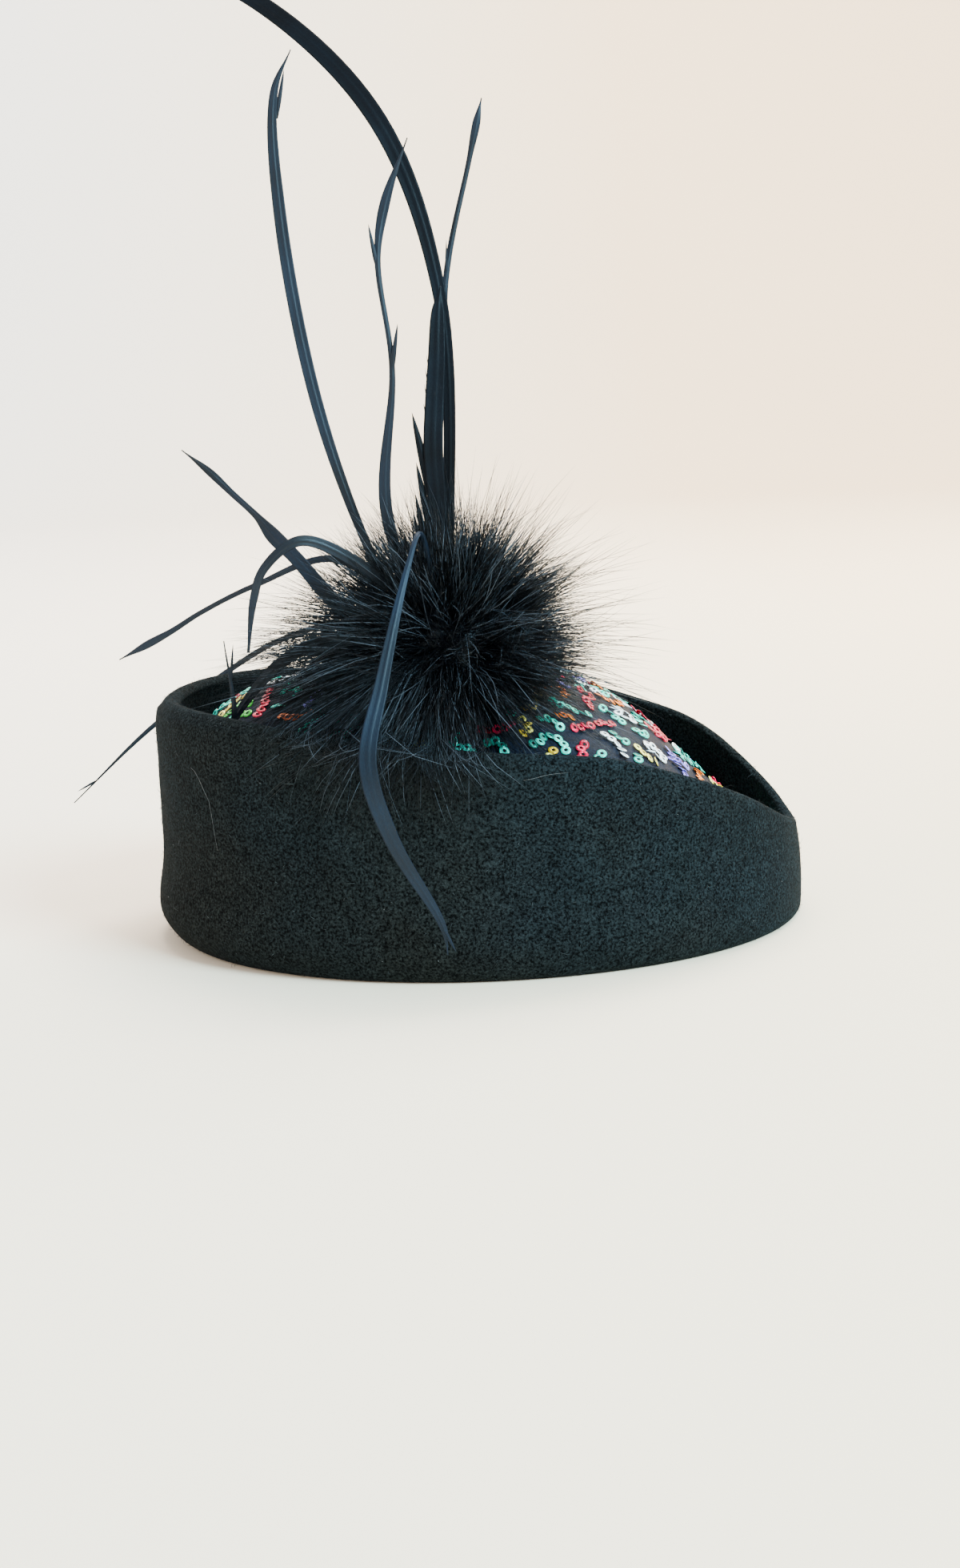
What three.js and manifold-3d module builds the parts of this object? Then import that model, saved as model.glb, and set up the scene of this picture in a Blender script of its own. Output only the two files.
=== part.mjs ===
// A felt pillbox hat with a turned-up cuff, a sequinned crown and a side trim of fluff and feathers.
// Millimetres, +Z up. The hat stands on its folded bottom edge at Z = 0, centred on the head opening.
// The wearer faces +X, and the trim sits on the -Y side.
import * as THREE from "three";
import { mergeVertices } from "three/addons/utils/BufferGeometryUtils.js";
import Module from "manifold-3d";

// Head opening
const HEAD_HALF_LENGTH = 100;
const HEAD_HALF_WIDTH = 79;
const TURNS = 56; // sections round the oval

// Felt cuff: an inner return, a fold at the bottom and a tall outer wall
const FELT = 2.5;
const FOLD_GAP = 2.5; // clear space inside the fold
const RETURN_HEIGHT = 16;
const SWELL_HEIGHT = 12; // the outer wall swells out up to this height
const SWELL = { front: 0.3, side: 4, back: 6.8 };
const TUCK_HEIGHT = 32; // above the swell the wall draws in again up to this height
const TUCK = { front: 1.2, side: 1.2, back: 2.4 };
const FOLD_FLAT = [2, 5]; // the flat foot, measured out from the head opening
const FOLD_CORNER = 3; // height of the fold's rounded corners
const FOLD_CORNER_CUT = 0.8; // how far in the middle of a rounded corner lies
const FOLD_FLOOR = 2.8; // height of the floor inside the fold
const FOLD_FILLET = 0.5;
const RIM_ROUND = 1.2;
const RIM_INSET = 0.2;
const WALL_SHARES = [0.3, 0.6, 0.9]; // sections of the wall between the swell and the rim
const SWELL_SHARES = [0.35, 0.65, 1]; // sections of the swell

// Sequinned crown: a thin dome whose skirt sits in the fold
const CROWN_WALL = 1.6;
const CROWN_GAP = 0.3; // between the felt return and the crown's skirt
const CROWN_TOP = 90.5;

// Fluffy tuft
const TUFT_CENTRE = new THREE.Vector3(-10, -45, 100);
const TUFT_HEAD = 26; // radius of the dense middle
const HEAD_DETAIL = 3;
const LOCK_COUNT = 76;
const LOCK_SIDES = 5;
const LOCK_RADIUS = 6;
const LOCK_ROOT = 0.75; // share of the head's radius where a lock starts
const REACH_FOCUS = 6; // how sharply a lock follows the nearest direction's reach
const LOCK_DROOP = 0.0022; // fall of a lock's tip for each square millimetre of its length

// Feathers
const FEATHER_THICKNESS = 0.9;
const FEATHER_SLIM = 0.6; // thickness of a narrow feather, as a share of its width
const STEPS_PER_ROW = 4;
const FACING = new THREE.Vector3(0, -1, 0.2); // the way a feather's flat side looks
const CLEARANCE = 0.3; // between the tuft and what it touches

function table(columns, rows) {
  const names = columns.split(" ");
  return rows.map((row) => Object.fromEntries(names.map((name, i) => [name, row[i]])));
}

// Height of the cuff's rim by the angle from the front, the same on both sides.
const RIM = table("angle height", [
  [0, 28],
  [20, 35],
  [40, 48],
  [56, 59],
  [70, 68],
  [90, 73],
  [120, 80],
  [141, 82],
  [160, 79],
  [180, 76],
]);

// Height of the crown at a share of its oval, at the front, the sides and the back.
const CROWN = table("share front side back", [
  [1.0, 5, 5, 5],
  [1.0, 19, 25, 32],
  [0.975, 26, 42, 54],
  [0.92, 33.5, 56, 69],
  [0.82, 42, 67, 78.5],
  [0.68, 54, 76, 84.5],
  [0.5, 70, 82.5, 88],
  [0.3, 81, 87, 90],
  [0.12, 87.5, 89.5, 90.5],
]);

// A lock's thickness along its free length.
const LOCK_TAPER = table("share thickness", [
  [0, 1],
  [0.45, 0.64],
  [0.75, 0.4],
]);

// How far the tuft reaches from its centre in a few directions.
const TUFT_REACH = table("x y z reach", [
  [0, 0, 1, 42],
  [0.7, 0, 0.7, 52],
  [1, 0, 0, 47],
  [0.8, 0, -0.5, 42],
  [-0.7, 0, 0.7, 42],
  [-0.95, 0, -0.1, 54],
  [0, -0.9, 0.3, 38],
  [0, -0.9, -0.3, 54],
  [0, 1, 0, 40],
]);

// Each feather runs from its root in the tuft to its tip.
const FEATHERS = {
  feather_arch: table("x y z width", [
    [-12, -44, 102, 2.4],
    [-8, -38, 142, 3.3],
    [-8, -31, 210, 4.3],
    [-25, -20, 265, 6],
    [-62, -4, 305, 5.6],
    [-110, 13, 328, 3.4],
    [-134, 20, 332, 0.4],
  ]),
  feather_tall: table("x y z width", [
    [-21, -39, 104, 2],
    [-34, -33, 130, 2.8],
    [-49, -27, 178, 4],
    [-58, -19, 238, 4.1],
    [-58, -15, 276, 2.6],
    [-52, -14, 289, 0.4],
  ]),
  feather_notched: table("x y z width", [
    [-17, -46, 104, 2],
    [-28, -42, 145, 4],
    [-24, -38, 188, 1.9],
    [-27, -34, 222, 2],
    [-24, -31, 239, 3.3],
    [-16, -29, 259, 0.4],
  ]),
  feather_paddle: table("x y z width", [
    [-12, -36, 103, 1.6],
    [-8, -27, 165, 1.8],
    [-6, -20, 215, 2],
    [3, -14, 252, 1.7],
    [6, -13, 264, 2.6],
    [8, -12, 272, 0.4],
  ]),
  feather_vane: table("x y z width", [
    [-13, -49, 104, 4],
    [-14, -48, 138, 7.6],
    [-13, -45, 163, 8],
    [-11, -41, 186, 5],
    [-8, -36, 211, 0.6],
  ]),
  feather_left_up: table("x y z width", [
    [-22, -42, 100, 3],
    [-43, -37, 111, 5.7],
    [-63, -28, 134, 5],
    [-73, -25, 144, 2.9],
    [-94, -16, 164, 0.4],
  ]),
  feather_hook: table("x y z width", [
    [-17, -52, 110, 2.5],
    [-35, -56, 127.5, 4],
    [-54, -59, 135.5, 3.8],
    [-67, -62, 125, 2.6],
    [-73, -61, 103, 0.5],
  ]),
  feather_left_level: table("x y z width", [
    [-19, -34, 109, 1.8],
    [-46, -25, 128, 2.5],
    [-66, -20, 122, 2.1],
    [-95, -13, 105, 1.9],
    [-108, -10, 100.5, 2.1],
    [-122, -8, 96, 0.4],
  ]),
  feather_front_fall: table("x y z width", [
    [-12, -54, 110, 1.5],
    [-17, -65, 138, 1.6],
    [-21, -75, 129, 1.9],
    [-30, -92, 96, 4.3],
    [-35, -101, 73, 5.5],
    [-29, -101, 50, 4.7],
    [-15, -96, 21, 2.2],
    [-14, -95, 12, 0.4],
  ]),
  feather_back_low: table("x y z width", [
    [-17, -33, 102, 1.6],
    [-44, 20, 102, 2],
    [-76, 68, 90, 2.1],
    [-96, 82, 78, 2.1],
    [-124, 72, 60, 1.8],
    [-152, 50, 36, 0.4],
  ]),
  feather_tucked: table("x y z width", [
    [-20, -47, 96, 2.6],
    [-46, -43, 104, 3.4],
    [-64, -41, 97, 3.9],
    [-82, -37, 77, 2.3],
    [-84, -42, 71, 2.1],
    [-80, -46, 80, 2],
    [-82, -44, 105, 0.4],
  ]),
};

const wasm = await Module();
wasm.setup();

// Value of a column at a place along another column, on a smooth curve that is level at both ends.
function lookup(rows, key, column, at) {
  const last = rows.length - 1;
  let i = 0;
  while (i < last - 1 && rows[i + 1][key] < at) i += 1;
  const slope = (k) => {
    if (k === 0 || k === last) return 0;
    return (rows[k + 1][column] - rows[k - 1][column]) / (rows[k + 1][key] - rows[k - 1][key]);
  };
  const [from, to] = [rows[i], rows[i + 1]];
  const span = to[key] - from[key];
  const t = THREE.MathUtils.clamp((at - from[key]) / span, 0, 1);
  const rise = to[column] - from[column];
  const bend = (slope(i) * span - rise) * (1 - t) - (slope(i + 1) * span - rise) * t;
  return from[column] + rise * t + t * (1 - t) * bend;
}

// Mixes a front, side and back size smoothly round the oval.
function mixRound(sizes, angle) {
  const [ahead, aside] = [Math.cos(angle) ** 2, Math.sin(angle) ** 2];
  return aside * sizes.side + ahead * (Math.cos(angle) > 0 ? sizes.front : sizes.back);
}

// A point on the head oval pushed straight out by a distance.
function ovalPoint(angle, out, z) {
  const [c, s] = [Math.cos(angle), Math.sin(angle)];
  const away = new THREE.Vector2(HEAD_HALF_WIDTH * c, HEAD_HALF_LENGTH * s).normalize();
  return new THREE.Vector3(HEAD_HALF_LENGTH * c + away.x * out, HEAD_HALF_WIDTH * s + away.y * out, z);
}

// Joins a run of rings of points into one closed surface. A ring of one point closes an end.
function skin(rings, joinsUp = false) {
  const points = rings.flat();
  const starts = rings.map((_, i) => rings.slice(0, i).reduce((sum, ring) => sum + ring.length, 0));
  const corner = (ring, step) => starts[ring] + (step % rings[ring].length);
  const faces = [];
  const runs = joinsUp ? rings.length : rings.length - 1;
  for (let i = 0; i < runs; i += 1) {
    const k = (i + 1) % rings.length;
    const sides = Math.max(rings[i].length, rings[k].length);
    for (let j = 0; j < sides; j += 1) {
      const quad = [corner(i, j), corner(i, j + 1), corner(k, j + 1), corner(k, j)];
      if (quad[0] !== quad[1]) faces.push([quad[0], quad[1], quad[2]]);
      if (quad[2] !== quad[3]) faces.push([quad[0], quad[2], quad[3]]);
    }
  }
  const volume = faces.reduce((sum, [a, b, c]) => {
    return sum + points[a].dot(points[b].clone().cross(points[c]));
  }, 0);
  const outward = volume > 0 ? faces : faces.map(([a, b, c]) => [a, c, b]);
  const geometry = new THREE.BufferGeometry().setFromPoints(points);
  geometry.setIndex(outward.flat());
  return geometry;
}

// Felt cuff

function cuffProfile(angle, grow) {
  const fromFront = Math.abs(THREE.MathUtils.radToDeg(Math.atan2(Math.sin(angle), Math.cos(angle))));
  const rim = lookup(RIM, "angle", "height", fromFront);
  const swell = mixRound(SWELL, angle);
  const tuck = mixRound(TUCK, angle);
  const inside = FELT + FOLD_GAP;
  const lean = (z) => {
    const out = swell * Math.sin((Math.min(z / SWELL_HEIGHT, 1) * Math.PI) / 2);
    return out - tuck * THREE.MathUtils.smoothstep(z, SWELL_HEIGHT, TUCK_HEIGHT);
  };
  const heights = [
    ...SWELL_SHARES.map((share) => SWELL_HEIGHT * share),
    ...WALL_SHARES.map((share) => THREE.MathUtils.lerp(SWELL_HEIGHT, rim, share)),
  ];
  const outer = heights.map((z) => [inside + FELT + lean(z) + grow, z]);
  const inner = heights.map((z) => [inside + lean(z) - grow, z]).reverse();
  const top = inside + lean(rim);
  return [
    [-grow, FOLD_CORNER],
    [FOLD_CORNER_CUT - grow, FOLD_CORNER_CUT],
    [FOLD_FLAT[0], -grow],
    [FOLD_FLAT[1], -grow],
    [inside + FELT - FOLD_CORNER_CUT + grow, FOLD_CORNER_CUT],
    ...outer,
    [top + FELT - RIM_INSET + grow, rim - RIM_ROUND],
    [top + FELT / 2, rim + grow],
    [top + RIM_INSET - grow, rim - RIM_ROUND],
    ...inner,
    [inside - FOLD_FILLET, FOLD_FLOOR],
    [FELT + FOLD_FILLET, FOLD_FLOOR],
    [FELT + grow, FOLD_FLOOR + 2 * FOLD_FILLET],
    [FELT + grow, RETURN_HEIGHT - RIM_ROUND],
    [FELT / 2, RETURN_HEIGHT + grow],
    [-grow, RETURN_HEIGHT - RIM_ROUND],
  ];
}

function cuffGeometry(grow = 0) {
  const rings = [];
  for (let turn = 0; turn < TURNS; turn += 1) {
    const angle = (2 * Math.PI * turn) / TURNS;
    rings.push(cuffProfile(angle, grow).map(([out, z]) => ovalPoint(angle, out, z)));
  }
  return skin(rings, true);
}

// Sequinned crown

function crownRings() {
  const out = FELT + CROWN_GAP + CROWN_WALL;
  return CROWN.map((row) => {
    const ring = [];
    for (let turn = 0; turn < TURNS; turn += 1) {
      const angle = (2 * Math.PI * turn) / TURNS;
      const point = ovalPoint(angle, out, 0);
      ring.push(new THREE.Vector3(point.x * row.share, point.y * row.share, mixRound(row, angle)));
    }
    return ring;
  });
}

// The same rings moved along their normals, outwards if the distance is positive.
function pushedOut(rings, distance) {
  return rings.map((ring, i) =>
    ring.map((point, j) => {
      const along = ring[(j + 1) % TURNS].clone().sub(ring[(j + TURNS - 1) % TURNS]);
      const up = rings[Math.min(i + 1, rings.length - 1)][j].clone().sub(rings[Math.max(i - 1, 0)][j]);
      return point.clone().addScaledVector(along.cross(up).normalize(), distance);
    }),
  );
}

const apex = (z) => [new THREE.Vector3(0, 0, z)];

function crownGeometry() {
  const outer = crownRings();
  const inner = pushedOut(outer, -CROWN_WALL);
  return skin([apex(CROWN_TOP), ...outer.reverse(), ...inner, apex(CROWN_TOP - CROWN_WALL)]);
}

// The crown without its hollow, grown by the clearance.
function crownBlock() {
  const outer = pushedOut(crownRings(), CLEARANCE);
  return skin([apex(0), ...outer, apex(CROWN_TOP + CLEARANCE)]);
}

// Feathers

function featherGeometry(rows, grow = 0) {
  const curve = new THREE.CatmullRomCurve3(rows.map((row) => new THREE.Vector3(row.x, row.y, row.z)));
  const placed = rows.map((row, i) => ({ place: i, width: row.width }));
  const steps = (rows.length - 1) * STEPS_PER_ROW;
  const rings = [];
  for (let step = 0; step < steps; step += 1) {
    const share = step / steps;
    const centre = curve.getPoint(share);
    const along = curve.getTangent(share);
    const across = along.clone().cross(FACING).normalize();
    const flat = across.clone().cross(along).normalize();
    const width = lookup(placed, "place", "width", share * (rows.length - 1));
    const thickness = Math.min(FEATHER_THICKNESS, width * FEATHER_SLIM);
    if (step === 0) rings.push([centre.clone().addScaledVector(along, -grow)]);
    const offsets = [
      [across, width / 2 + grow],
      [flat, thickness / 2 + grow],
      [across, -width / 2 - grow],
      [flat, -thickness / 2 - grow],
    ];
    rings.push(offsets.map(([direction, by]) => centre.clone().addScaledVector(direction, by)));
  }
  rings.push([curve.getPoint(1)]);
  return skin(rings);
}

// Tuft

function reachTowards(direction) {
  let [total, weight] = [0, 0];
  for (const row of TUFT_REACH) {
    const towards = new THREE.Vector3(row.x, row.y, row.z).normalize();
    const near = Math.max(0, direction.dot(towards)) ** REACH_FOCUS;
    total += near * row.reach;
    weight += near;
  }
  return total / weight;
}

// One lock of fluff: a drooping cone from inside the head to its tip.
function lockGeometry(direction) {
  const length = reachTowards(direction);
  const side = new THREE.Vector3(-direction.y, direction.x, 0).normalize();
  const other = direction.clone().cross(side);
  const centreAt = (distance) => {
    const fall = LOCK_DROOP * distance ** 2;
    return TUFT_CENTRE.clone().addScaledVector(direction, distance).add(new THREE.Vector3(0, 0, -fall));
  };
  const start = LOCK_ROOT * TUFT_HEAD;
  const rings = [[centreAt(start - 1)]];
  for (const { share, thickness } of LOCK_TAPER) {
    const centre = centreAt(THREE.MathUtils.lerp(start, length, share));
    const radius = LOCK_RADIUS * thickness;
    const ring = [];
    for (let corner = 0; corner < LOCK_SIDES; corner += 1) {
      const turn = (2 * Math.PI * corner) / LOCK_SIDES;
      const point = centre.clone().addScaledVector(side, radius * Math.cos(turn));
      ring.push(point.addScaledVector(other, radius * Math.sin(turn)));
    }
    rings.push(ring);
  }
  rings.push([centreAt(length)]);
  return skin(rings);
}

// Evenly spread directions on a sphere.
function spreadDirection(index, count) {
  const z = 1 - (2 * index + 1) / count;
  const turn = index * Math.PI * (3 - Math.sqrt(5));
  const flat = Math.sqrt(1 - z * z);
  return new THREE.Vector3(flat * Math.cos(turn), flat * Math.sin(turn), z);
}

function solidOf(geometry) {
  const bare = geometry.clone();
  bare.deleteAttribute("normal");
  bare.deleteAttribute("uv");
  const merged = mergeVertices(bare, 1e-3);
  const vertProperties = new Float32Array(merged.attributes.position.array);
  const triVerts = new Uint32Array(merged.index.array);
  return new wasm.Manifold(new wasm.Mesh({ numProp: 3, vertProperties, triVerts }));
}

function geometryOf(solid) {
  const { vertProperties, triVerts } = solid.getMesh();
  const geometry = new THREE.BufferGeometry();
  geometry.setAttribute("position", new THREE.BufferAttribute(new Float32Array(vertProperties), 3));
  geometry.setIndex([...triVerts]);
  return geometry;
}

function tuftGeometry() {
  const head = new THREE.IcosahedronGeometry(TUFT_HEAD, HEAD_DETAIL).translate(...TUFT_CENTRE.toArray());
  let solid = solidOf(head);
  for (let index = 0; index < LOCK_COUNT; index += 1) {
    solid = solid.add(solidOf(lockGeometry(spreadDirection(index, LOCK_COUNT))));
  }
  const cutters = [crownBlock(), cuffGeometry(CLEARANCE)];
  for (const rows of Object.values(FEATHERS)) cutters.push(featherGeometry(rows, CLEARANCE));
  for (const cutter of cutters) solid = solid.subtract(solidOf(cutter));
  const bodies = solid.decompose().sort((a, b) => b.volume() - a.volume());
  return geometryOf(bodies[0]);
}

// The hat

const feltBlack = new THREE.MeshStandardMaterial({ color: 0x15181a, roughness: 0.95, metalness: 0 });
const sequinCloth = new THREE.MeshStandardMaterial({ color: 0x2a2f38, roughness: 0.5, metalness: 0.2 });
const fluffBlack = new THREE.MeshStandardMaterial({ color: 0x0c0e11, roughness: 0.8, metalness: 0 });
const featherBlack = new THREE.MeshStandardMaterial({ color: 0x181c24, roughness: 0.45, metalness: 0 });

function piece(name, geometry, material) {
  const mesh = new THREE.Mesh(geometry, material);
  geometry.computeVertexNormals();
  mesh.name = name;
  return mesh;
}

const hat = new THREE.Group();
hat.add(piece("felt_cuff", cuffGeometry(), feltBlack));
hat.add(piece("sequin_crown", crownGeometry(), sequinCloth));

const trim = new THREE.Group();
trim.add(piece("tuft", tuftGeometry(), fluffBlack));
for (const [name, rows] of Object.entries(FEATHERS)) {
  trim.add(piece(name, featherGeometry(rows), featherBlack));
}
hat.add(trim);

export default hat;
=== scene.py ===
# Looks of a felt pillbox hat: black felt cuff, sequinned crown, fluffy tuft and stripped feathers.
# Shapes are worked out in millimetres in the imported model's frame, and meshes are made in metres.
# The wearer faces +X, and the trim sits on the -Y side.
import math

import bpy
import numpy as np
from mathutils import Matrix, Vector, noise


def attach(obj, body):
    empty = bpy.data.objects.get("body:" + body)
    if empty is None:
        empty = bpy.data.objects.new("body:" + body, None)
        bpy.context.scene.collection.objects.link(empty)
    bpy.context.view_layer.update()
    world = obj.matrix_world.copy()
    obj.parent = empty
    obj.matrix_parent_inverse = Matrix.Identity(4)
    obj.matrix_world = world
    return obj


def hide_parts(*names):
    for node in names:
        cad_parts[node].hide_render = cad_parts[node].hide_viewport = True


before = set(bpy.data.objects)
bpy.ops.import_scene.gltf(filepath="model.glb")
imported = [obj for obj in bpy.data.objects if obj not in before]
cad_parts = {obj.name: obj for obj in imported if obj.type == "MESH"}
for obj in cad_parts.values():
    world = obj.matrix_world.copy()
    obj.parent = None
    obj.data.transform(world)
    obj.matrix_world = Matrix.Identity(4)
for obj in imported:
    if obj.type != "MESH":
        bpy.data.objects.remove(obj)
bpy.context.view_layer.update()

MM = 0.001
TAU = 2 * math.pi
BODY = "root"

# Head opening and felt cuff, in millimetres
HEAD_HALF_LENGTH = 100.0
HEAD_HALF_WIDTH = 79.0
FELT = 2.5
FOLD_GAP = 2.5
RETURN_HEIGHT = 16.0
SWELL_HEIGHT = 12.0
SWELL = (0.3, 4.0, 6.8)  # front, side, back
TUCK_HEIGHT = 32.0
TUCK = (1.2, 1.2, 2.4)
FOLD_FLAT = (2.0, 5.0)
FOLD_CORNER = 3.0
FOLD_FLOOR = 2.8
RIM_ANGLES = (0, 20, 40, 56, 70, 90, 120, 141, 160, 180)  # degrees from the front
RIM_HEIGHTS = (31, 37, 50.5, 61, 68.5, 72.7, 78.7, 82, 82.5, 82)
# The far side of the rim stands a little higher at the front
FAR_ANGLES = (0, 22, 42, 58, 75)
FAR_RISE = (0, 3.0, 4.4, 1.5, 0)
RIM_FELT = (3.6, 4.2, 6.8)  # front, side, back
RIM_CURL = (0.4, 1.2, 2.2)
RIM_CURL_HEIGHT = 10.0
RIM_SWELL = 24.0
CUFF_TURNS = 230
OUTER_ROWS = 46
INNER_ROWS = 40
FELT_WAVES = ((0.55, 0.022), (0.16, 0.12))  # height of each wave, and its pace for each millimetre
WAVE_FADE = (6.0, 26.0)  # the waves come in between these heights
NAP_FIBRES = 11500
LONG_NAP_SHARE = 0.06
LONG_NAP = (2.2, 4.2)
SHORT_NAP = (0.7, 1.7)
NAP_RADII = (0.055, 0.045, 0.0)
LINT_SPECKS = 16
LINT_ANGLES = (185, 350)
LINT_RADII = (0.05, 0.1, 0.0)
STRAY_HAIR_RADIUS = 0.05
STRAY_HAIR_POINTS = 9
# Pale stray hairs on the near wall: angles in degrees and heights along each
STRAY_HAIRS = (
    ((211, 216.5, 218.5), (65, 55, 38)),
    ((276, 280, 284), (64.0, 65.2, 65.4)),
)

# Crown: heights at a share of its oval
CROWN_WALL = 1.6
CROWN_OUT = FELT + 0.3 + CROWN_WALL
CROWN_HALF_LENGTH = HEAD_HALF_LENGTH + CROWN_OUT
CROWN_HALF_WIDTH = HEAD_HALF_WIDTH + CROWN_OUT
CROWN_SKIRT_EDGE = 5.0
CROWN_SHARES = (0, 0.12, 0.3, 0.5, 0.68, 0.82, 0.92, 0.975, 1.0)
CROWN_FRONT = (90.5, 87.5, 81, 68.5, 50, 35.5, 26.5, 21, 16)
CROWN_SIDE = (90.5, 89.5, 87, 82.5, 76, 67, 56, 42, 25)
CROWN_BACK = (90.5, 90.5, 90, 88, 84.5, 78.5, 69, 54, 32)
CROWN_TURNS = 150
CROWN_ROWS = 66
CROWN_EYE = 0.004  # share of the first ring round the top
CREASE_PACE = 0.11
CREASE_HEIGHT = 0.35
CREASE_FADE = (16, 30)  # the creases come in between these heights

# Sequins
SEQUIN_OUTER = 1.7
SEQUIN_HOLE = 0.64
SEQUIN_THICKNESS = 0.18
SEQUIN_CUP = 0.2
SEQUIN_SIDES = 11
SEQUIN_PITCH = 2.65
SEQUIN_LIFT = 0.55
SEQUIN_TIP = (9, 9)  # degrees onto the next sequin: mean and spread
SEQUIN_LEAN = (0, 12)  # degrees sideways: mean and spread
SEQUIN_EDGE = 0.985  # share of the crown's oval where the sequins end
CHAIN_GAP = 4.1
OWN_GAP = SEQUIN_PITCH * 0.95
LONG_CHAIN = 4
LONG_TRIES = 5000
SHORT_CHAIN = 2
SHORT_TRIES = 2500
CHAIN_EXTRA = 6
CHAIN_CURL = (0.15, 0.8)
CURL_TURNS_BACK = 0.3

# Tuft
TUFT_CENTRE = np.array([-10.0, -45.0, 100.0])
TUFT_CORE = 17.0
CLUMPS = 640
FIBRES_PER_CLUMP = 26
FIBRES_PER_PIECE = 6000
# How far the tuft reaches from its centre: x, y, z of a direction, its locks' reach, its wisps' reach
TUFT_REACH = np.array([
    [0, 0, 1, 50, 60],
    [0.7, 0, 0.7, 53, 78],
    [1, 0, 0, 46, 80],
    [0.8, 0, -0.5, 45, 74],
    [-0.7, 0, 0.7, 50, 58],
    [-1, 0, 0.05, 70, 90],
    [-0.8, -0.3, -0.5, 70, 82],
    [0, -0.9, 0.3, 38, 44],
    [0, -0.9, -0.4, 52, 62],
    [0, 1, 0, 46, 54],
    [0, -0.6, 0.8, 44, 50],
])
REACH_FOCUS = 6
FIBRE_POINTS = 6
FIBRE_RADII = (0.09, 0.15)
FIBRE_ROOTS = (7, 13)  # distance of the roots from the tuft's centre
FIBRE_DROOP = 0.0016
WISP_SHARE = 0.11
GUARD_HAIR_SHARE = 0.06
GUARD_HAIR = 1.6  # times as thick as the other fibres
FIBRE_HIGHLIGHT_SHARE = 0.13  # share of the fibres that runs up to a light tone, a painted highlight standing in for the sheen on the fibres
# share of the falling strands that runs up to the same painted highlight
STRAND_HIGHLIGHT_SHARE = 0.17
# Strands that fall over the near rim, round an angle in degrees
FALL_ANGLE = 257
FALL_LOCKS = 48
FALL_STRANDS = 9
FALL_RADIUS = 0.1
FALL_BULGE = 2.5

# Feathers: each row is x, y, z, width, from the root in the tuft to the tip
FEATHERS = {
    "feather_arch": [
        (-12, -44, 102, 2.4), (-8, -38, 142, 3.3), (-8, -31, 210, 4.3), (-25, -20, 265, 6),
        (-62, -4, 305, 5.6), (-110, 13, 328, 3.4), (-134, 20, 332, 0.4),
    ],
    "feather_tall": [
        (-21, -39, 104, 2), (-34, -33, 130, 2.8), (-49, -27, 178, 4), (-58, -19, 238, 4.1),
        (-58, -15, 276, 2.6), (-52, -14, 289, 0.4),
    ],
    "feather_notched": [
        (-17, -46, 104, 2), (-28, -42, 145, 4), (-24, -38, 188, 1.9), (-27, -34, 222, 2),
        (-24, -31, 239, 3.3), (-16, -29, 259, 0.4),
    ],
    "feather_paddle": [
        (-12, -36, 103, 1.6), (-8, -27, 165, 1.8), (-6, -20, 215, 2), (3, -14, 252, 1.7),
        (6, -13, 264, 2.6), (8, -12, 272, 0.4),
    ],
    "feather_vane": [
        (-12.5, -49, 104, 4.6), (-11.8, -48, 131, 5.8), (-11.6, -46.6, 147, 5.8), (-12.1, -45, 163, 6.2),
        (-11, -42, 178, 6), (-9.8, -40, 191, 5.5), (-8.8, -37, 205, 4.2), (-7.6, -35, 213, 0.6),
    ],
    "feather_left_up": [
        (-22, -42, 100, 3), (-43, -37, 112, 4.8), (-59, -31, 130, 4.6), (-65.5, -27.5, 136.5, 5),
        (-71, -24, 143, 2.4), (-79, -20, 150.5, 2.2), (-86, -18, 157.5, 2.5), (-95, -16, 165, 0.4),
    ],
    "feather_hook": [
        (-17, -52, 110, 2.5), (-38, -56, 129.5, 3.8), (-54.5, -60, 137, 3.4), (-66, -62, 129, 2.8),
        (-70, -61, 119, 2.5), (-72.6, -61, 103, 0.9),
    ],
    "feather_left_level": [
        (-19, -34, 109, 1.8), (-46, -26, 128, 2.4), (-73, -18, 120, 1.8), (-93, -12, 110.8, 1.7),
        (-103, -10.5, 105, 2), (-112, -9, 100.5, 2.6), (-121.8, -8, 95.8, 0.4),
    ],
    "feather_front_fall": [
        (-12, -54, 110, 1.5), (-17, -65, 138, 1.6), (-21, -75, 129, 1.9), (-30, -92, 96, 4.3),
        (-35, -101, 73, 5.5), (-29, -101, 50, 4.7), (-15, -96, 21, 2.2), (-14, -95, 12, 0.4),
    ],
    "feather_back_low": [
        (-17, -33, 102, 1.6), (-44, 20, 102, 2), (-76, 68, 90, 2.1), (-96, 82, 78, 2.1),
        (-124, 72, 60, 1.8), (-152, 50, 36, 0.4),
    ],
    "feather_tucked": [
        (-20, -47, 96, 2.6), (-46, -43, 104, 3.4), (-64, -41, 97, 3.9), (-82, -37, 77, 2.3),
        (-84, -42, 71, 2.1), (-80, -46, 80, 2), (-82, -44, 105, 0.4),
    ],
}
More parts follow.
